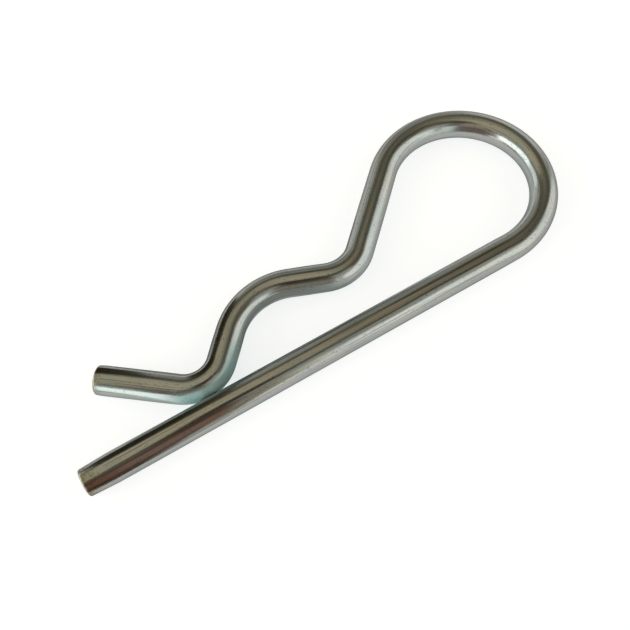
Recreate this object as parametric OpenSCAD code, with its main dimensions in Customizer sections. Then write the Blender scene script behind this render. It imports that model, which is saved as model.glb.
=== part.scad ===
// Hitch R clip: one length of round spring wire, bent flat.
// A straight shank goes through the hole of a cross pin. The loop turns the wire back over the shank,
// and the waved arm grips the outside of the pin: its neck keeps the pin from running into the loop,
// its hump seats over the pin, and its knee springs against the shank.
// The clip lies on the XY plane, with the shank along X and its free end at -X.

/* [Wire] */
// Diameter of the round wire
wire_d = 4; // [2:0.1:7]
// Length of the straight shank, from its free end to the start of the loop
shank_length = 64; // [40:0.5:120]
// Loss of wire diameter where the wire is drawn round its bends
bend_thinning = 0.04; // [0.02:0.01:0.2]

/* [Loop] */
// Inside diameter of the round loop
loop_inside_d = 19.2; // [12:0.2:36]
// Angle at which the arm comes down from the loop towards the shank
neck_fall = 44; // [25:0.5:70]

/* [Neck] */
// Clear gap between the neck and the shank
neck_gap = 4.8; // [2:0.1:9]
// Inside radius of the neck bend
neck_inside_r = 3.8; // [1:0.1:10]

/* [Seat] */
// Height of the hump above the neck
hump_rise = 3; // [1.5:0.1:8]
// Angle at which the arm climbs from the neck to the hump
hump_slope = 22; // [12:0.5:34]
// Inside radius of the hump that seats over the pin
seat_inside_r = 7.3; // [3:0.1:16]
// Angle at which the arm comes down from the hump to the knee
knee_fall = 47; // [25:0.5:60]

/* [Knee and tip] */
// Clear gap between the knee and the shank
knee_gap = 0.05; // [0.02:0.01:3]
// Inside radius of the knee bend
knee_inside_r = 2.8; // [1:0.1:10]
// Angle at which the tip flares away from the shank
tip_flare = 38; // [10:0.5:70]
// Length of the straight tip after the knee
tip_length = 10.9; // [3:0.1:30]

/* [Cut ends] */
// Length of the tapered lead-in on the shank's free end
lead_length = 4; // [1:0.1:12]
// Loss of diameter over the shank's lead-in
lead_taper = 0.3; // [0:0.05:0.8]
// Length of the tapered lead-in on the arm's tip
tip_lead = 1; // [0.8:0.1:3]
// Loss of diameter over the tip's lead-in
tip_taper = 0.1; // [0:0.05:0.8]
// Radius of the rounded edge on both cut ends
edge_round = 0.3; // [0.05:0.05:0.5]

/* [Hidden] */
$fn = 128;

// Diameter of the wire in its bends
bend_d = wire_d - bend_thinning;

// Radii of the bends, measured to the middle of the wire
loop_r = (loop_inside_d + bend_d) / 2;
neck_r = neck_inside_r + bend_d / 2;
seat_r = seat_inside_r + bend_d / 2;
knee_r = knee_inside_r + bend_d / 2;

// Heights of the wire's middle above the middle of the shank
loop_top = 2 * loop_r;
neck_low = (wire_d + bend_d) / 2 + neck_gap;
hump_top = neck_low + hump_rise;
knee_low = (wire_d + bend_d) / 2 + knee_gap;

// Headings of the straights, counted anticlockwise from +X
neck_heading = 180 + neck_fall;
hump_heading = 180 - hump_slope;
knee_heading = 180 + knee_fall;
tip_heading = 180 - tip_flare;

// Straight between two opposite bends that spans a height at a slope
function run(height, r_sum, slope) = (height - r_sum * (1 - cos(slope))) / sin(slope);

// Distance along the shank between the centres of those two bends
function reach(height, r_sum, slope) = r_sum * sin(slope) + run(height, r_sum, slope) * cos(slope);

// Point on a bend where the wire has this heading: side is 1 for a left turn and -1 for a right turn
function on_bend(centre, r, side, heading) = centre + side * r * [sin(heading), -cos(heading)];

// Centres of the bends
loop_c = [shank_length, loop_r];
neck_c = [loop_c.x - reach(loop_top - neck_low, loop_r + neck_r, neck_fall), neck_low + neck_r];
seat_c = [neck_c.x - reach(hump_rise, neck_r + seat_r, hump_slope), hump_top - seat_r];
knee_c = [seat_c.x - reach(hump_top - knee_low, seat_r + knee_r, knee_fall), knee_low + knee_r];

// Face of the tip
tip_end = on_bend(knee_c, knee_r, -1, tip_heading) + tip_length * [cos(tip_heading), sin(tip_heading)];

// Middle of the clip's length and width
clip_middle = [(shank_length + loop_r + bend_d / 2) / 2, (loop_top + bend_d / 2 - wire_d / 2) / 2];

// Angle by which a bend runs on into the straight on each side of it, while it stays inside that straight
function lap(r) = acos(1 - bend_thinning / (4 * r));

// Straight wire from a point along a heading
module straight(start, heading, length) {
    translate([start.x, start.y, 0])
        rotate([0, 90, heading])
            cylinder(d = wire_d, h = length);
}

// Bend about a centre, turning from the first angle to the second one, both measured at the centre
module bend(centre, r, from_angle, to_angle) {
    translate([centre.x, centre.y, 0])
        rotate([0, 0, from_angle - lap(r)])
            rotate_extrude(angle = to_angle - from_angle + 2 * lap(r))
                translate([r, 0]) circle(d = bend_d);
}

// Bend that turns the wire to the left, to a larger heading
module left_bend(centre, r, from_heading, to_heading) {
    bend(centre, r, from_heading - 90, to_heading - 90);
}

// Bend that turns the wire to the right, to a smaller heading
module right_bend(centre, r, from_heading, to_heading) {
    bend(centre, r, to_heading + 90, from_heading + 90);
}

// Straight wire that begins with a cut face: its edge is rounded, and its lead widens to the full wire
module cut_straight(face, heading, length, lead, taper) {
    end_r = (wire_d - taper) / 2;
    flat_r = end_r - edge_round;
    translate([face.x, face.y, 0])
        rotate([0, 90, heading])
            rotate_extrude() {
                translate([flat_r, edge_round]) circle(r = edge_round);
                polygon([
                    [0, 0],
                    [flat_r, 0],
                    [end_r, edge_round],
                    [wire_d / 2, lead],
                    [wire_d / 2, length],
                    [0, length]
                ]);
            }
}

// Waved arm from the loop to the knee
module waved_arm() {
    straight(on_bend(loop_c, loop_r, 1, neck_heading), neck_heading,
        run(loop_top - neck_low, loop_r + neck_r, neck_fall));
    right_bend(neck_c, neck_r, neck_heading, hump_heading);
    straight(on_bend(neck_c, neck_r, -1, hump_heading), hump_heading,
        run(hump_rise, neck_r + seat_r, hump_slope));
    left_bend(seat_c, seat_r, hump_heading, knee_heading);
    straight(on_bend(seat_c, seat_r, 1, knee_heading), knee_heading,
        run(hump_top - knee_low, seat_r + knee_r, knee_fall));
    right_bend(knee_c, knee_r, knee_heading, tip_heading);
}

// The whole clip, lying flat
module clip_wire() {
    color("#a6a6a2")
        translate([-clip_middle.x, -clip_middle.y, wire_d / 2])
            union() {
                cut_straight([0, 0], 0, shank_length, lead_length, lead_taper);
                left_bend(loop_c, loop_r, 0, neck_heading);
                waved_arm();
                cut_straight(tip_end, tip_heading + 180, tip_length, tip_lead, tip_taper);
            }
}

clip_wire();
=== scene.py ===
"""Hitch R clip: one bent wire of bright zinc-plated spring steel, modelled, dressed and lit."""
import logging
import math
from dataclasses import dataclass
from enum import Enum
from typing import Any, Optional, Sequence, Union

import bpy
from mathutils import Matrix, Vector


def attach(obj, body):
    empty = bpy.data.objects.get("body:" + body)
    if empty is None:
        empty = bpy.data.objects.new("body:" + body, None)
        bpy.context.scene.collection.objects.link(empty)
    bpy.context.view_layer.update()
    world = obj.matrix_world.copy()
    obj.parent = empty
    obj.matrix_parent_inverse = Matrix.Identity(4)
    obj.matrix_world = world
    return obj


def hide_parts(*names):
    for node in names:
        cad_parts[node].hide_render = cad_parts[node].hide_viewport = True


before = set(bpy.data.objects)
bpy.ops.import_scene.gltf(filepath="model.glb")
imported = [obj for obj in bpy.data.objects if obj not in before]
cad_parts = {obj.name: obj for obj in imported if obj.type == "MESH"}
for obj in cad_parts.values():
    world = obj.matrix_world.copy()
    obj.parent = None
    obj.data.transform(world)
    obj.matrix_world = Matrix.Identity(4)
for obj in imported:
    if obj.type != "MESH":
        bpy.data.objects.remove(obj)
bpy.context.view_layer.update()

log = logging.getLogger("r_clip")

MM = 0.001
RUN_ATTRIBUTE = "wire_run"


class Turn(Enum):
    """Way in which the wire turns at a bend."""

    LEFT = 1
    RIGHT = -1


class Axis(Enum):
    """Axis along which a card changes its colour."""

    X = "X"
    Y = "Y"
    Z = "Z"


class Sock:
    """An output socket that takes part in Python expressions, each of which adds a Math node."""

    def __init__(self, tree: "NodeTree", socket: bpy.types.NodeSocket) -> None:
        """Keep the tree and the socket."""
        self.tree = tree
        self.socket = socket

    def other(self, name: str) -> "Sock":
        """Another output of the same node."""
        return Sock(self.tree, self.socket.node.outputs[name])

    def _math(self, operation: str, first: "Number", second: "Number") -> "Sock":
        """Join two values with a Math node."""
        return self.tree.node("ShaderNodeMath", {"operation": operation}, {0: first, 1: second})

    def __add__(self, other: "Number") -> "Sock":
        """Sum."""
        return self._math("ADD", self, other)

    def __radd__(self, other: "Number") -> "Sock":
        """Sum with a number on the left."""
        return self._math("ADD", other, self)

    def __sub__(self, other: "Number") -> "Sock":
        """Difference."""
        return self._math("SUBTRACT", self, other)

    def __rsub__(self, other: "Number") -> "Sock":
        """Difference with a number on the left."""
        return self._math("SUBTRACT", other, self)

    def __mul__(self, other: "Number") -> "Sock":
        """Product."""
        return self._math("MULTIPLY", self, other)

    def __rmul__(self, other: "Number") -> "Sock":
        """Product with a number on the left."""
        return self._math("MULTIPLY", other, self)

    def __truediv__(self, other: "Number") -> "Sock":
        """Quotient."""
        return self._math("DIVIDE", self, other)

    def __rtruediv__(self, other: "Number") -> "Sock":
        """Quotient with a number on the left."""
        return self._math("DIVIDE", other, self)

    def __pow__(self, other: "Number") -> "Sock":
        """Power."""
        return self._math("POWER", self, other)


Number = Union[Sock, float]
Colour = tuple[float, float, float]
Corner = tuple[float, float]
Point = tuple[float, float, float]


class NodeTree:
    """The nodes of one material or of the world."""

    def __init__(self, owner: Union[bpy.types.Material, bpy.types.World]) -> None:
        """Start with an empty tree.

        Args:
            owner: Material or world that holds the tree.
        """
        owner.use_nodes = True
        self.nodes = owner.node_tree.nodes
        self.links = owner.node_tree.links
        self.nodes.clear()

    def node(
        self,
        kind: str,
        settings: Optional[dict[str, Any]] = None,
        sockets: Optional[dict[Union[int, str], Any]] = None,
        output: Union[int, str] = 0,
    ) -> Sock:
        """Add a node.

        Args:
            kind: Type of the node.
            settings: Its settings, which are set first.
            sockets: Values or links of its input sockets, by name or number.
            output: Output that is wanted, by name or number.

        Returns:
            The wanted output.
        """
        made = self.nodes.new(kind)
        for name, value in (settings or {}).items():
            setattr(made, name, value)
        for key, value in (sockets or {}).items():
            if isinstance(value, Sock):
                self.links.new(value.socket, made.inputs[key])
            elif isinstance(value, tuple) and made.inputs[key].type == "RGBA":
                made.inputs[key].default_value = (*value, 1.0)
            else:
                made.inputs[key].default_value = value
        if not made.outputs:
            return Sock(self, made.inputs[0])
        return Sock(self, made.outputs[output])

    def smooth(self, value: Sock, low: float, high: float) -> Sock:
        """Smooth step from 0 at low to 1 at high."""
        ends = {"Value": value, "From Min": low, "From Max": high}
        return self.node("ShaderNodeMapRange", {"interpolation_type": "SMOOTHSTEP"}, ends)

    def between(self, value: Sock, low: float, high: float, soft: float) -> Sock:
        """1 between two values and 0 outside them, with soft edges."""
        rise = self.smooth(value, low - soft, low + soft)
        return rise * (1.0 - self.smooth(value, high - soft, high + soft))

    def blend(self, factor: Number, first: Union[Sock, Colour], second: Union[Sock, Colour]) -> Sock:
        """Mix two colours: the factor 0 gives the first one and 1 the second one."""
        sockets = {0: factor, 6: first, 7: second}
        return self.node("ShaderNodeMix", {"data_type": "RGBA"}, sockets, output=2)

    def scaled(self, vector: Sock, factors: Colour) -> Sock:
        """Scale a vector by three factors."""
        return self.node("ShaderNodeVectorMath", {"operation": "MULTIPLY"}, {0: vector, 1: factors})

    def noise(self, vector: Sock, factors: Colour, detail: float = 2.0, roughness: float = 0.5) -> Sock:
        """Noise about 0.5, with its own scale along each axis.

        Args:
            vector: Place on the surface.
            factors: Scale along each axis.
            detail: Number of finer layers.
            roughness: Weight of the finer layers.

        Returns:
            The noise.
        """
        placed = self.scaled(vector, factors)
        sockets = {"Vector": placed, "Scale": 1.0, "Detail": detail, "Roughness": roughness}
        return self.node("ShaderNodeTexNoise", None, sockets)


@dataclass(frozen=True)
class BrightZinc:
    """Bright zinc plate over drawn spring wire: its colours, roughness and relief. Lengths are in mm."""

    plate: Colour = (0.375, 0.378, 0.36)
    blue_plate: Colour = (0.345, 0.37, 0.362)
    pit: Colour = (0.14, 0.13, 0.105)
    sheared: Colour = (0.27, 0.268, 0.26)
    tarnish: Colour = (0.34, 0.305, 0.215)
    # Painted teal reflection by the knee: pale towards the tip, and darker as painted shade on the arm
    painted_teal_reflection: Colour = (0.48, 0.68, 0.66)
    shaded_teal_reflection: Colour = (0.23, 0.345, 0.33)
    edge: Colour = (0.40, 0.415, 0.415)
    gloss: float = 0.17
    dull: float = 0.34
    dull_length: float = 3.4
    sheared_rough: float = 0.42
    relief_depth: float = 0.006

    def dress(self, piece: bpy.types.Object, run_length: float, touch: tuple[float, float]) -> None:
        """Give a wire the finish. It reads the wire's own length, side and height, in millimetres.

        Args:
            piece: Wire with its run attribute.
            run_length: Length of the wire in millimetres.
            touch: Lengths along the wire, in millimetres, at which the shank and the knee meet.
        """
        material = bpy.data.materials.new("bright_zinc_plate")
        tree = NodeTree(material)
        attribute = {"attribute_type": "GEOMETRY", "attribute_name": RUN_ATTRIBUTE}
        run = tree.node("ShaderNodeAttribute", attribute, None, "Vector")
        along = tree.node("ShaderNodeSeparateXYZ", None, {0: run}, "X")
        left = along.other("Y")
        upper = tree.smooth(along.other("Z"), 0.2, 1.3)
        shank_touch, knee_touch = touch

        # Draw lines, stains and streaks along the wire, clouds in the plate, grain and specks
        lines = tree.noise(run, (0.05, 2.4, 2.4), 3.0)
        stains = tree.noise(run, (0.06, 1.3, 1.3), 3.0, 0.6)
        fine_lines = tree.noise(run, (0.12, 7.0, 7.0), 2.0)
        streaks = tree.smooth(tree.noise(run, (0.045, 4.2, 4.2), 3.0, 0.6), 0.56, 0.66)
        clouds = tree.noise(run, (0.22, 0.5, 0.5), 2.0)
        grain = tree.noise(run, (3.2, 3.2, 3.2), 2.0)
        specks = tree.smooth(tree.noise(run, (2.6, 5.5, 5.5), 1.0), 0.64, 0.7)

        # Cut faces and the dull, freckled skin beside them
        from_tip = run_length - along
        face = 1.0 - tree.smooth(along, 0.03, 0.12) * tree.smooth(from_tip, 0.03, 0.12)
        near = 1.0 - tree.smooth(along, 0.2, self.dull_length) * tree.smooth(from_tip, 0.1, 1.6)
        freckle = tree.smooth(grain + 0.16 * near, 0.62, 0.68) * (0.3 + 0.7 * near)

        # Painted teal reflection where the knee meets the shank: darker painted shade on the arm and a
        # paler painted reflection on the tip
        by_knee = tree.between(along, knee_touch - 6.0, knee_touch + 2.5, 3.0)
        on_knee = by_knee * tree.smooth(left, 0.6, 1.7)
        on_tip = 0.15 * tree.smooth(along, knee_touch, knee_touch + 5.0) * tree.smooth(left, 0.9, 1.7)
        by_shank = tree.between(along, shank_touch - 3.0, shank_touch + 3.0, 2.5)
        on_shank = 0.7 * by_shank * tree.smooth(left, 1.0, 1.7)
        painted_teal_reflection = tree.node("ShaderNodeMath", {"operation": "MAXIMUM"}, {0: on_knee + on_shank, 1: on_tip})

        # Colour, from the clean plate to the marks on it, the painted teal reflection and shade by the
        # knee, and the cut faces
        tint = tree.blend(tree.smooth(clouds, 0.42, 0.62), self.plate, self.blue_plate)
        stained = 0.5 * upper * tree.smooth(stains, 0.5, 0.68)
        tint = tree.blend(0.6 * near + stained, tint, self.tarnish)
        tint = tree.blend(0.35 * tree.smooth(lines, 0.56, 0.74), tint, self.pit)
        tint = tree.blend(streaks * (0.2 + 0.5 * upper), tint, self.pit)
        tint = tree.blend(specks * (0.1 + 0.45 * upper), tint, self.pit)
        speckled = tree.blend(0.45 * freckle, tint, self.pit)
        # The painted teal reflection turns from painted shade on the arm to pale towards the tip
        to_tip = tree.smooth(along, knee_touch - 2.5, knee_touch + 2.5)
        with_teal_reflection = tree.blend(painted_teal_reflection, speckled, tree.blend(to_tip, self.shaded_teal_reflection, self.painted_teal_reflection))
        colour = tree.blend(face, with_teal_reflection, self.sheared)

        # Roughness and relief
        streaked = self.gloss + 0.07 * (lines - 0.5) + 0.05 * (fine_lines - 0.5) + 0.04 * (clouds - 0.5)
        skin = streaked + (self.dull - self.gloss) * (0.25 * near + 0.3 * freckle + painted_teal_reflection)
        roughness = skin * (1.0 - face) + self.sheared_rough * face
        relief = lines * 2.6 + fine_lines * 0.4 + clouds * 3.0 + freckle * 0.3 + face * grain * 6.0
        bump = {"Strength": 1.0, "Distance": self.relief_depth * MM, "Height": relief}
        normal = tree.node("ShaderNodeBump", None, bump)

        shader = {
            "Base Color": colour,
            # Less metallic under the painted teal reflection, so that its painted colour shows
            "Metallic": 1.0 - 0.8 * painted_teal_reflection,
            "Roughness": roughness,
            "Specular Tint": self.edge,
            "Normal": normal,
        }
        surface = tree.node("ShaderNodeBsdfPrincipled", None, shader)
        tree.node("ShaderNodeOutputMaterial", None, {"Surface": surface})
        piece.data.materials.clear()
        piece.data.materials.append(material)


@dataclass(frozen=True)
class Straight:
    """Straight stretch of the wire's middle line."""

    start: Vector
    heading: float
    length: float

    def way(self) -> Vector:
        """Unit vector along the stretch."""
        return Vector((math.cos(self.heading), math.sin(self.heading), 0.0))

    def locate(self, point: Vector) -> tuple[float, float, float]:
        """Place of a point seen from this stretch.

        Args:
            point: Point in the part's frame.

        Returns:
            Length along the stretch, offset to the left, and the distance that tells which
            stretch is nearest.
        """
        away = point - self.start
        along = away.dot(self.way())
        left = away.y * math.cos(self.heading) - away.x * math.sin(self.heading)
        kept = min(max(along, 0.0), self.length)
        return kept, left, math.hypot(left, away.z) + abs(along - kept)


@dataclass(frozen=True)
class Bend:
    """Round bend of the wire's middle line."""

    centre: Vector
    radius: float
    turn: Turn
    heading: float
    sweep: float

    @property
    def length(self) -> float:
        """Length of the middle line."""
        return self.radius * self.sweep

    def locate(self, point: Vector) -> tuple[float, float, float]:
        """Place of a point seen from this bend.

        Args:
            point: Point in the part's frame.

        Returns:
            Length along the bend, offset to the left, and the distance that tells which
            stretch is nearest.
        """
        away = point - self.centre
        side = self.turn.value
        heading = math.atan2(away.y, away.x) + side * math.pi / 2
        turned = side * (heading - self.heading) - self.sweep / 2
        turned = (turned + math.pi) % (2 * math.pi) - math.pi + self.sweep / 2
        kept = min(max(turned, 0.0), self.sweep)
        left = side * (self.radius - math.hypot(away.x, away.y))
        return self.radius * kept, left, math.hypot(left, away.z) + self.radius * abs(turned - kept)


Stretch = Union[Straight, Bend]


class RingTool:
    """Edit-mode work on the open ring at the end of a wire: it is pushed on, sized, spun and closed."""

    def __init__(self, name: str, sides: int, face: Vector, heading: float, radius: float) -> None:
        """Start a wire with the flat of its first cut face.

        Args:
            name: Name of the piece.
            sides: Number of sides of the ring.
            face: Middle of the cut face.
            heading: Heading of the wire there.
            radius: Radius of the flat.
        """
        bpy.ops.object.select_all(action="DESELECT")
        turned = (0.0, math.pi / 2, heading)
        bpy.ops.mesh.primitive_circle_add(
            vertices=sides, radius=radius, fill_type="NGON", location=face, rotation=turned
        )
        self.piece = bpy.context.object
        self.piece.name = name
        self.piece.data.name = name
        bpy.ops.object.transform_apply(location=True, rotation=True, scale=True)
        bpy.ops.object.mode_set(mode="EDIT")
        bpy.ops.mesh.select_mode(type="EDGE")
        bpy.ops.mesh.select_all(action="SELECT")
        self.inset_face(radius)
        self.centre = face.copy()
        self.heading = heading
        self.radius = radius
        self.select_rim()

    def inset_face(self, radius: float) -> None:
        """Inset the selected cut face twice, so that it shades flat up to its edge.

        Args:
            radius: Radius of the face.
        """
        edge_band = radius * 0.12
        middle_band = radius * 0.38
        bpy.ops.mesh.select_mode(type="FACE")
        bpy.ops.mesh.inset(thickness=edge_band)
        bpy.ops.mesh.inset(thickness=middle_band)

    def select_rim(self) -> None:
        """Select the open rim of the wire."""
        bpy.ops.mesh.select_mode(type="EDGE")
        bpy.ops.mesh.select_all(action="DESELECT")
        bpy.ops.mesh.select_non_manifold(
            extend=False, use_wire=False, use_boundary=True, use_multi_face=False,
            use_non_contiguous=False, use_verts=False
        )

    def push(self, length: float, radius: float) -> None:
        """Extrude the ring along the wire and bring it to a radius.

        Args:
            length: Length of the new stretch.
            radius: Radius at its end.
        """
        step = Vector((math.cos(self.heading), math.sin(self.heading), 0.0)) * length
        bpy.ops.mesh.extrude_edges_move(TRANSFORM_OT_translate={"value": step})
        self.centre = self.centre + step
        if abs(radius - self.radius) > 1e-9:
            size = radius / self.radius
            bpy.ops.transform.resize(value=(size, size, size), center_override=self.centre)
        self.radius = radius

    def bend(self, bend: Bend, step: float) -> None:
        """Spin the ring round a bend.

        Args:
            bend: Bend that starts where the ring is.
            step: Angle of one step.
        """
        steps = math.ceil(bend.sweep / step)
        side = bend.turn.value
        spun = -side * bend.sweep
        bpy.ops.mesh.spin(steps=steps, angle=spun, center=bend.centre, axis=(0.0, 0.0, 1.0))
        self.heading = bend.heading + side * bend.sweep
        out = Vector((math.sin(self.heading), -math.cos(self.heading), 0.0))
        self.centre = bend.centre + out * (side * bend.radius)

    def round_edge(self, edge: float, steps: int, opening: bool) -> None:
        """Carry the ring over the rounded edge of a cut face.

        Args:
            edge: Radius of the edge.
            steps: Number of steps.
            opening: True where the wire starts, and False where it ends.
        """
        before = 0.0
        flat = self.radius if opening else self.radius - edge
        for number in range(1, steps + 1):
            angle = math.pi / 2 * number / steps
            reach = edge * (1.0 - math.cos(angle)) if opening else edge * math.sin(angle)
            width = edge * math.sin(angle) if opening else edge * math.cos(angle)
            self.push(reach - before, flat + width)
            before = reach

    def close(self) -> bpy.types.Object:
        """Fill the last cut face and finish the mesh.

        Returns:
            The finished wire.
        """
        merge_reach = 1e-7
        smooth_angle = math.radians(40.0)
        bpy.ops.mesh.edge_face_add()
        self.inset_face(self.radius)
        bpy.ops.mesh.select_all(action="SELECT")
        bpy.ops.mesh.remove_doubles(threshold=merge_reach)
        bpy.ops.mesh.normals_make_consistent(inside=False)
        bpy.ops.object.mode_set(mode="OBJECT")
        bpy.ops.object.shade_smooth_by_angle(angle=smooth_angle)
        return self.piece


@dataclass
class SpringWire:
    """The clip's wire: shank, loop, waved arm and tip. Lengths are in metres and angles in degrees."""

    wire_d: float = 4.0 * MM
    bend_thinning: float = 0.04 * MM
    shank_length: float = 64.0 * MM
    loop_inside_d: float = 19.2 * MM
    neck_fall: float = 44.0
    neck_gap: float = 4.8 * MM
    neck_inside_r: float = 3.8 * MM
    hump_rise: float = 3.0 * MM
    hump_slope: float = 22.0
    seat_inside_r: float = 7.3 * MM
    knee_fall: float = 47.0
    knee_gap: float = 0.05 * MM
    knee_inside_r: float = 2.8 * MM
    tip_flare: float = 38.0
    tip_length: float = 10.9 * MM
    lead_length: float = 4.0 * MM
    lead_taper: float = 0.3 * MM
    tip_lead: float = 1.0 * MM
    tip_taper: float = 0.1 * MM
    edge_round: float = 0.3 * MM
    ease: float = 2.0 * MM
    sides: int = 96
    bend_step: float = 2.0
    edge_steps: int = 6
    shank_steps: int = 8
    tip_steps: int = 3

    def bends(self) -> tuple[Bend, Bend, Bend, Bend]:
        """Loop, neck, seat and knee, each one tangent to the straights beside it.

        Returns:
            The four bends in the order of the wire.
        """
        bend_d = self.wire_d - self.bend_thinning
        loop_r = (self.loop_inside_d + bend_d) / 2
        neck_r = self.neck_inside_r + bend_d / 2
        seat_r = self.seat_inside_r + bend_d / 2
        knee_r = self.knee_inside_r + bend_d / 2
        neck_low = (self.wire_d + bend_d) / 2 + self.neck_gap
        hump_top = neck_low + self.hump_rise
        knee_low = (self.wire_d + bend_d) / 2 + self.knee_gap

        loop_x = self.shank_length
        neck_x = loop_x - self.reach(2 * loop_r - neck_low, loop_r + neck_r, self.neck_fall)
        seat_x = neck_x - self.reach(self.hump_rise, neck_r + seat_r, self.hump_slope)
        knee_x = seat_x - self.reach(hump_top - knee_low, seat_r + knee_r, self.knee_fall)
        middle_x = (self.shank_length + loop_r + bend_d / 2) / 2
        middle_y = (2 * loop_r + bend_d / 2 - self.wire_d / 2) / 2

        def place(x: float, y: float) -> Vector:
            """Point of the wire in the part's frame."""
            return Vector((x - middle_x, y - middle_y, self.wire_d / 2))

        headings = (
            0.0,
            math.radians(180.0 + self.neck_fall),
            math.radians(180.0 - self.hump_slope),
            math.radians(180.0 + self.knee_fall),
            math.radians(180.0 - self.tip_flare),
        )
        sweeps = [abs(headings[k + 1] - headings[k]) for k in range(4)]
        return (
            Bend(place(loop_x, loop_r), loop_r, Turn.LEFT, headings[0], sweeps[0]),
            Bend(place(neck_x, neck_low + neck_r), neck_r, Turn.RIGHT, headings[1], sweeps[1]),
            Bend(place(seat_x, hump_top - seat_r), seat_r, Turn.LEFT, headings[2], sweeps[2]),
            Bend(place(knee_x, knee_low + knee_r), knee_r, Turn.RIGHT, headings[3], sweeps[3]),
        )

    @staticmethod
    def reach(height: float, radii: float, slope: float) -> float:
        """Distance along the shank between two opposite bends.

        Args:
            height: Height between the far sides of the bends.
            radii: Sum of their radii.
            slope: Slope of the straight between them, in degrees.

        Returns:
            Distance between their centres.
        """
        angle = math.radians(slope)
        run = (height - radii * (1.0 - math.cos(angle))) / math.sin(angle)
        return radii * math.sin(angle) + run * math.cos(angle)

    def path(self) -> list[Stretch]:
        """The wire's middle line from the shank's free end to the tip.

        Returns:
            Straights and bends in order.
        """
        stretches: list[Stretch] = []
        loop = self.bends()[0]
        start = loop.centre + Vector((-self.shank_length, -loop.radius, 0.0))
        for bend in self.bends():
            joint = self.on_bend(bend, bend.heading)
            stretches.append(Straight(start, bend.heading, (joint - start).length))
            stretches.append(bend)
            start = self.on_bend(bend, bend.heading + bend.turn.value * bend.sweep)
        heading = math.radians(180.0 - self.tip_flare)
        stretches.append(Straight(start, heading, self.tip_length))
        return stretches

    @staticmethod
    def on_bend(bend: Bend, heading: float) -> Vector:
        """Point of a bend's middle line where the wire has this heading."""
        out = Vector((math.sin(heading), -math.cos(heading), 0.0))
        return bend.centre + out * (bend.turn.value * bend.radius)

    def build(self) -> bpy.types.Object:
        """Draw the wire out of its first cut face, ring by ring, and close it at the tip.

        Returns:
            The finished wire.
        """
        full = self.wire_d / 2
        bent = full - self.bend_thinning / 2
        stretches = self.path()
        shank = stretches[0]
        lead_r = full - self.lead_taper / 2
        ring = RingTool("plated_wire", self.sides, shank.start, shank.heading, lead_r - self.edge_round)
        ring.round_edge(self.edge_round, self.edge_steps, opening=True)
        ring.push(self.lead_length - self.edge_round, full)
        self.draw_straight(ring, shank.length - self.lead_length - self.ease, self.shank_steps)
        ring.push(self.ease, bent)
        for stretch in stretches[1:-1]:
            if isinstance(stretch, Bend):
                ring.bend(stretch, math.radians(self.bend_step))
            else:
                ring.push(stretch.length / 2, full)
                ring.push(stretch.length / 2, bent)
        ring.push(self.ease, full)
        tip_body = self.tip_length - self.ease - self.tip_lead
        self.draw_straight(ring, tip_body, self.tip_steps)
        ring.push(self.tip_lead - self.edge_round, full - self.tip_taper / 2)
        ring.round_edge(self.edge_round, self.edge_steps, opening=False)
        piece = ring.close()
        self.lay_run(piece, stretches)
        return piece

    @staticmethod
    def draw_straight(ring: RingTool, length: float, steps: int) -> None:
        """Push a ring along a straight in even steps."""
        for _ in range(steps):
            ring.push(length / steps, ring.radius)

    def run_length(self) -> float:
        """Length of the wire's middle line."""
        return sum(stretch.length for stretch in self.path())

    @staticmethod
    def lay_run(piece: bpy.types.Object, stretches: Sequence[Stretch]) -> None:
        """Store where each point lies on the straightened wire: length, left and up, in millimetres.

        Args:
            piece: The finished wire.
            stretches: Its middle line.
        """
        mesh = piece.data
        layer = mesh.attributes.new(RUN_ATTRIBUTE, "FLOAT_VECTOR", "POINT")
        starts = [sum(before.length for before in stretches[:k]) for k in range(len(stretches))]
        for vertex in mesh.vertices:
            found = [(stretch.locate(vertex.co), start) for stretch, start in zip(stretches, starts)]
            (along, left, _), start = min(found, key=lambda entry: entry[0][2])
            up = vertex.co.z - stretches[0].start.z
            layer.data[vertex.index].vector = ((start + along) / MM, left / MM, up / MM)

    def touch(self) -> tuple[float, float]:
        """Lengths along the wire at which the shank and the knee meet.

        Returns:
            Length on the shank and length on the arm.
        """
        stretches = self.path()
        knee = self.bends()[3]
        on_shank = knee.centre.x - stretches[0].start.x
        before = sum(stretch.length for stretch in stretches[:-2])
        return on_shank, before + knee.radius * math.radians(self.knee_fall)

    def dress(self, piece: bpy.types.Object, finish: BrightZinc) -> None:
        """Give the wire its finish and its place in the frame.

        Args:
            piece: The finished wire.
            finish: Its finish.
        """
        on_shank, on_knee = self.touch()
        finish.dress(piece, self.run_length() / MM, (on_shank / MM, on_knee / MM))
        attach(piece, "root")
        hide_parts("clip_wire")


@dataclass(frozen=True)
class WallPatch:
    """Soft-edged patch of the room, by its direction from the clip. Angles are in degrees."""

    colour: Colour
    azimuth: float
    half_width: float
    low: float
    high: float
    soft: float

    def mask(self, tree: NodeTree, direction: Sock) -> Sock:
        """Mask of the patch over the room.

        Args:
            tree: Nodes of the world.
            direction: Direction from the clip, split in X, Y and Z.

        Returns:
            1 on the patch and 0 outside it.
        """
        angle = math.radians(self.azimuth)
        level = (1.0 - direction.other("Z") ** 2.0) ** 0.5
        ahead = direction.other("X") * math.cos(angle) + direction.other("Y") * math.sin(angle)
        facing = ahead / (level + 1e-4)
        outer = math.cos(math.radians(min(self.half_width + self.soft, 180.0)))
        inner = math.cos(math.radians(max(self.half_width - self.soft, 0.0)))
        height = tree.node("ShaderNodeMath", {"operation": "ARCSINE"}, {0: direction.other("Z")})
        low = math.radians(self.low)
        high = math.radians(self.high)
        across = tree.smooth(facing, outer, inner)
        return across * tree.between(height, low, high, math.radians(self.soft))


@dataclass(frozen=True)
class Fade:
    """Change of a card's colour along an axis, to this colour at its end. Lengths are in millimetres."""

    axis: Axis
    start: float
    end: float
    colour: Colour


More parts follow.
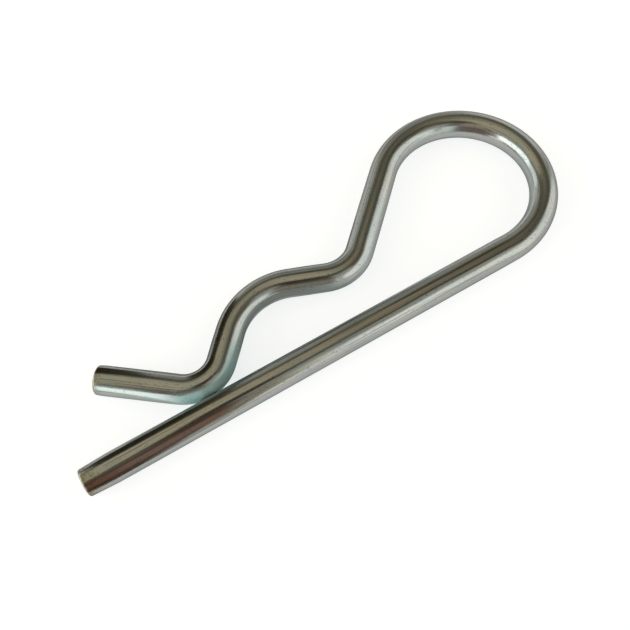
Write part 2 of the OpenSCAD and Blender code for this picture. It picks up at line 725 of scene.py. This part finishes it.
@dataclass(frozen=True)
class Card:
    """Flat card near the clip, which only shows in the metal. Corners are in millimetres."""

    name: str
    colour: Colour
    corners: tuple[Point, ...]
    fades: tuple[Fade, ...] = ()
    one_sided: bool = False

    def place(self) -> bpy.types.Object:
        """Add the card, hidden from the camera, from shadows and from diffuse light.

        Returns:
            The card.
        """
        bpy.ops.object.select_all(action="DESELECT")
        bpy.ops.mesh.primitive_circle_add(vertices=len(self.corners), radius=0.01, fill_type="NGON")
        card = bpy.context.object
        card.name = self.name
        card.data.name = self.name
        for vertex, corner in zip(card.data.vertices, self.corners):
            vertex.co = Vector(corner) * MM
        card.data.materials.append(self.material())
        card.visible_camera = False
        card.visible_shadow = False
        card.visible_diffuse = False
        return card

    def material(self) -> bpy.types.Material:
        """Glow of the card.

        Returns:
            The material.
        """
        material = bpy.data.materials.new(self.name)
        tree = NodeTree(material)
        place = tree.node("ShaderNodeTexCoord", None, None, "Object")
        split = tree.node("ShaderNodeSeparateXYZ", None, {0: place})
        colour: Union[Sock, Colour] = self.colour
        for fade in self.fades:
            share = tree.smooth(split.other(fade.axis.value), fade.start * MM, fade.end * MM)
            colour = tree.blend(share, colour, fade.colour)
        surface = tree.node("ShaderNodeEmission", None, {"Color": colour, "Strength": 1.0})
        if self.one_sided:
            back = tree.node("ShaderNodeNewGeometry", None, None, "Backfacing")
            clear = tree.node("ShaderNodeBsdfTransparent")
            surface = tree.node("ShaderNodeMixShader", None, {0: back, 1: surface, 2: clear})
        tree.node("ShaderNodeOutputMaterial", None, {"Surface": surface})
        return material


@dataclass(frozen=True)
class Studio:
    """White floor and backdrop, soft room, cards near the clip, and camera. Lengths are in metres."""

    floor_reach: float = 12.0
    backdrop_reach: float = 3.0
    floor_glow: Colour = (0.71, 0.76, 0.765)
    floor_colour: Colour = (0.49, 0.405, 0.405)
    overhead: Colour = (0.165, 0.158, 0.115)
    warm_panel: Colour = (0.69, 0.63, 0.465)
    brown_panel: Colour = (0.42, 0.355, 0.25)
    wall: Colour = (0.53, 0.53, 0.48)
    horizon: Colour = (1.0, 1.0, 1.0)
    eye: Point = (-0.023026, -0.048462, 0.097257)
    eye_turn: Point = (0.45262, 0.04046, -0.52853)
    lens: float = 45.309
    sensor: float = 36.0

    @staticmethod
    def patches() -> tuple[WallPatch, ...]:
        """Parts of the room's walls that differ from the rest.

        Returns:
            The patches, each one painted over those before it.
        """
        return (
            WallPatch((0.62, 0.62, 0.56), 290.0, 24.0, -10.0, 62.0, 7.0),
            WallPatch((1.30, 1.36, 1.30), 262.0, 8.0, -10.0, 38.0, 5.0),
            WallPatch((1.25, 1.25, 1.20), 278.0, 9.0, -10.0, 14.0, 4.0),
            WallPatch((1.64, 1.66, 1.58), 321.0, 40.0, -10.0, 38.0, 6.0),
            WallPatch((1.5, 1.54, 1.48), 338.0, 26.0, -10.0, 43.0, 8.0),
            WallPatch((1.14, 1.12, 1.03), 34.0, 13.0, -10.0, 27.0, 7.0),
            WallPatch((0.46, 0.46, 0.42), 70.0, 13.0, 2.0, 30.0, 5.0),
            WallPatch((0.80, 0.82, 0.76), 102.0, 9.0, -10.0, 20.0, 6.0),
            WallPatch((0.95, 1.12, 1.10), 230.0, 24.0, -10.0, 22.0, 6.0),
            WallPatch((2.5, 2.6, 2.52), 211.0, 10.0, -10.0, 16.0, 4.0),
            WallPatch((1.45, 1.5, 1.45), 123.0, 14.0, 0.0, 30.0, 5.0),
            WallPatch((2.7, 2.8, 2.75), 164.0, 28.0, -4.0, 36.0, 3.0),
        )

    @staticmethod
    def standing(outline: Sequence[Corner], y: float) -> tuple[Point, ...]:
        """Corners of an upright card at one Y, from its outline in X and Z."""
        return tuple((x, y, z) for x, z in outline)

    @staticmethod
    def lying(outline: Sequence[Corner], z: float) -> tuple[Point, ...]:
        """Corners of a level card at one Z, from its outline in X and Y."""
        return tuple((x, y, z) for x, y in outline)

    def cards(self) -> tuple[Card, ...]:
        """Cards that stand and lie round the clip, in millimetres. The last ones are the pale strips.

        Returns:
            The cards.
        """
        on_floor = 0.05
        dark = (
            (-33, -50), (-19, -50), (-13, -38), (-3, -34), (-3, -24), (-10, -15), (-25, -13), (-33, -26)
        )
        brown = (
            (-60, 15), (-46, 12), (-44, 0), (-30, 0), (-27, 2), (-22.5, 4.8), (-19.3, 8.1), (-17.6, 12.1),
            (-17, 17.4), (-16.8, 28), (-60, 28)
        )
        grey = ((-44, 0), (-14, 0), (-9, 18), (-1, 18), (-1, 85), (-44, 85))
        dusky = ((-78, 0), (-40, 0), (-40, 82), (-78, 82))
        side = ((-56, 54.5, 0.5), (-14, 30.3, 0.5), (-14, 30.3, 39), (-56, 54.5, 65))
        low_strip = ((-52, 0.1), (-19, 0.1), (-19, 2.6), (-52, 2.6))
        pocket = ((-18, -9.3), (14, -9.3), (4, -5.4), (-7, -2.6), (-13, -4))
        outside = (
            (-29, -4), (-23.5, -6.9), (-20.4, -7.5), (-17, -6.2), (-14, -3), (-10.5, 0.3), (-3, 0.9),
            (3, -0.7), (8, 2.5), (10, 8), (-4, 10), (-20, 10), (-31, 4)
        )
        brown_shades = (
            Fade(Axis.X, -33, -39, (0.26, 0.13, 0.095)),
            Fade(Axis.X, -24, -18, (0.28, 0.145, 0.105)),
            Fade(Axis.Z, 15, 22, (0.15, 0.08, 0.055)),
            Fade(Axis.Z, 7, 3, (0.11, 0.065, 0.045)),
        )
        grey_shades = (
            Fade(Axis.X, -14, -1, (0.55, 0.54, 0.48)),
            Fade(Axis.Z, 55, 85, (0.20, 0.15, 0.115)),
        )
        dusky_top = (Fade(Axis.Z, 55, 80, (0.40, 0.34, 0.29)),)
        side_shades = (
            Fade(Axis.X, -26, -18, (0.07, 0.06, 0.035)),
            Fade(Axis.X, -17, -14, (0.12, 0.115, 0.09)),
        )
        strip_end = (Fade(Axis.X, -34, -20, (0.85, 0.87, 0.85)),)
        pocket_end = (Fade(Axis.X, -8, 12, (0.75, 0.79, 0.77)),)
        return (
            Card("dark_card", (0.075, 0.055, 0.035), self.lying(dark, 66)),
            Card("brown_card", (0.37, 0.225, 0.175), self.standing(brown, -26), brown_shades),
            Card("grey_card", (0.40, 0.37, 0.30), self.standing(grey, -68), grey_shades),
            Card("dusky_card", (0.28, 0.215, 0.195), self.standing(dusky, -71), dusky_top),
            Card("side_card", (0.035, 0.028, 0.012), side, side_shades),
            Card("strip_card", (0.13, 0.085, 0.065), self.standing(low_strip, -20.6), strip_end),
            # Two sheets lying on the floor hold painted shadow, seen only in the metal: the pocket one
            # lies between the arm and the shank, darker towards the knee and paler towards the loop, and
            # the outside one lies along the arm's outer side
            Card("pocket_shadow_card", (0.39, 0.43, 0.40), self.lying(pocket, on_floor), pocket_end),
            Card("outside_shadow_card", (0.62, 0.63, 0.58), self.lying(outside, on_floor)),
            *self.strips(),
        )

    @staticmethod
    def upright(
        name: str, colour: Colour, start: Corner, end: Corner, top: float, fades: tuple[Fade, ...] = ()
    ) -> Card:
        """Upright card that shows only on the right of its run.

        Args:
            name: Name of the card.
            colour: Its colour.
            start: Start of its foot, in millimetres.
            end: End of its foot.
            top: Height of its upper edge.
            fades: Changes of its colour.

        Returns:
            The card.
        """
        foot = 0.06
        corners = ((*start, foot), (*end, foot), (*end, top), (*start, top))
        return Card(name, colour, corners, fades, one_sided=True)

    def strips(self) -> list[Card]:
        """Pale strips that stand inside the loop, the pocket and the mouth, and a warm card in the loop.

        Returns:
            The cards.
        """
        loop_x = 25.2
        strip_r = 9.3
        top = 4.1
        beside_shank = -9.4
        angles = (134.0, 105.0, 70.0, 30.0, -10.0, -50.0, -90.0)
        shades = (0.75, 0.75, 1.1, 1.15, 1.15, 1.15)
        turns = [math.radians(angle) for angle in angles]
        feet = [(loop_x + strip_r * math.cos(turn), strip_r * math.sin(turn)) for turn in turns]
        made = []
        for number, shade in enumerate(shades):
            colour = (0.98 * shade, 1.03 * shade, shade)
            made.append(self.upright(f"strip_{number}", colour, feet[number], feet[number + 1], top))

        pocket_shade = (Fade(Axis.X, 8, -6, (0.42, 0.44, 0.41)),)
        mouth_shade = (
            Fade(Axis.X, -31, -27, (1.35, 1.5, 1.48)),
            Fade(Axis.X, -28, -22.5, (0.5, 0.66, 0.64)),
        )
        neck_shade = (Fade(Axis.Y, -0.5, 2.6, (0.52, 0.53, 0.5)),)
        loop_shade = (Fade(Axis.Z, 9, 14, (0.56, 0.46, 0.37)),)
        pocket_end = (-20.0, beside_shank)
        mouth_start = (-21.0, beside_shank)
        mouth_end = (-52.0, beside_shank)
        return made + [
            self.upright("pocket_strip", (1.1, 1.15, 1.1), feet[-1], pocket_end, top, pocket_shade),
            self.upright("mouth_strip", (2.1, 2.15, 2.1), mouth_start, mouth_end, top, mouth_shade),
            self.upright("neck_strip", (1.7, 1.75, 1.7), (15.0, -4.0), (15.0, 2.8), top, neck_shade),
            self.upright("loop_card", (0.25, 0.2, 0.185), (25.8, -3.6), (22.9, 0.4), 29.0, loop_shade),
        ]

    def light(self) -> None:
        """Paint the room: even walls, a dim top with a warm panel, a white horizon and the patches."""
        top_start = math.sin(math.radians(28.0))
        top_full = math.sin(math.radians(42.0))
        horizon_full = math.sin(math.radians(2.0))
        horizon_end = math.sin(math.radians(6.0))
        world = bpy.data.worlds.new("soft_room")
        bpy.context.scene.world = world
        tree = NodeTree(world)
        place = tree.node("ShaderNodeTexCoord", None, None, "Generated")
        direction = tree.node("ShaderNodeSeparateXYZ", None, {0: place}, "X")
        height = direction.other("Z")
        upper = tree.smooth(height, top_start, top_full)
        colour = tree.blend(upper, self.wall, self.overhead)
        rise = tree.smooth(height, horizon_full, horizon_end)
        colour = tree.blend(rise, self.horizon, colour)
        for patch in self.patches():
            colour = tree.blend(patch.mask(tree, direction), colour, patch.colour)

        # Warm panel overhead, brown towards the loop
        near_edge = direction.other("Y") - 0.2 * direction
        far_edge = direction.other("Y") + 0.4 * direction
        panel = tree.smooth(near_edge, -0.23, -0.15) * (1.0 - tree.smooth(far_edge, 0.57, 0.65))
        panel = panel * tree.smooth(height, 0.62, 0.69) * (1.0 - tree.smooth(direction, 0.28, 0.52))
        warm = tree.blend(tree.smooth(direction, 0.0, 0.34), self.warm_panel, self.brown_panel)
        colour = tree.blend(panel, colour, warm)

        glow = tree.node("ShaderNodeBackground", None, {"Color": colour, "Strength": 1.0})
        tree.node("ShaderNodeOutputWorld", None, {"Surface": glow})

    def backdrop(self) -> bpy.types.Object:
        """Stand the plain white backdrop round the floor, for the camera alone.

        Returns:
            The backdrop.
        """
        bpy.ops.object.select_all(action="DESELECT")
        bpy.ops.mesh.primitive_uv_sphere_add(segments=64, ring_count=32, radius=self.backdrop_reach)
        backdrop = bpy.context.object
        backdrop.name = "white_backdrop"
        material = bpy.data.materials.new("white_backdrop")
        tree = NodeTree(material)
        glow = tree.node("ShaderNodeEmission", None, {"Color": self.horizon, "Strength": 1.0})
        tree.node("ShaderNodeOutputMaterial", None, {"Surface": glow})
        backdrop.data.materials.append(material)
        backdrop.visible_diffuse = False
        backdrop.visible_glossy = False
        backdrop.visible_transmission = False
        backdrop.visible_shadow = False
        return backdrop

    def floor(self) -> bpy.types.Object:
        """Lay the white floor, which keeps a soft shadow.

        Returns:
            The floor.
        """
        bpy.ops.object.select_all(action="DESELECT")
        bpy.ops.mesh.primitive_circle_add(vertices=64, radius=self.floor_reach, fill_type="NGON")
        floor = bpy.context.object
        floor.name = "white_floor"
        material = bpy.data.materials.new("white_floor")
        tree = NodeTree(material)
        path = tree.node("ShaderNodeLightPath", None, None, "Is Camera Ray")
        seen = path + path.other("Is Glossy Ray") + path.other("Is Transmission Ray")
        paper = tree.node("ShaderNodeBsdfDiffuse", None, {"Color": self.floor_colour})
        glow = tree.node("ShaderNodeEmission", None, {"Color": self.floor_glow, "Strength": 1.0})
        both = tree.node("ShaderNodeAddShader", None, {0: paper, 1: glow})
        mixed = tree.node("ShaderNodeMixShader", None, {0: seen, 1: paper, 2: both})
        tree.node("ShaderNodeOutputMaterial", None, {"Surface": mixed})
        floor.data.materials.append(material)
        return floor

    def camera(self) -> None:
        """Set the camera at the photograph's viewing angle."""
        data = bpy.data.cameras.new("view")
        data.lens = self.lens
        data.sensor_width = self.sensor
        data.clip_start = 0.001
        data.clip_end = 100.0
        camera = bpy.data.objects.new("view", data)
        camera.location = self.eye
        camera.rotation_euler = self.eye_turn
        bpy.context.collection.objects.link(camera)
        bpy.context.scene.camera = camera

    def set_up(self) -> None:
        """Build the whole studio."""
        self.camera()
        self.floor()
        self.backdrop()
        self.light()
        for card in self.cards():
            card.place()
        bpy.context.scene.view_settings.view_transform = "Standard"


def main() -> None:
    """Build the studio and the wire in order, and report each piece."""
    logging.basicConfig(level=logging.INFO, format="%(message)s")
    Studio().set_up()
    wire = SpringWire()
    piece = wire.build()
    wire.dress(piece, BrightZinc())
    length = wire.run_length() / MM
    log.info("%s: %d faces, %.1f mm of wire", piece.name, len(piece.data.polygons), length)


if __name__ == "__main__":
    main()
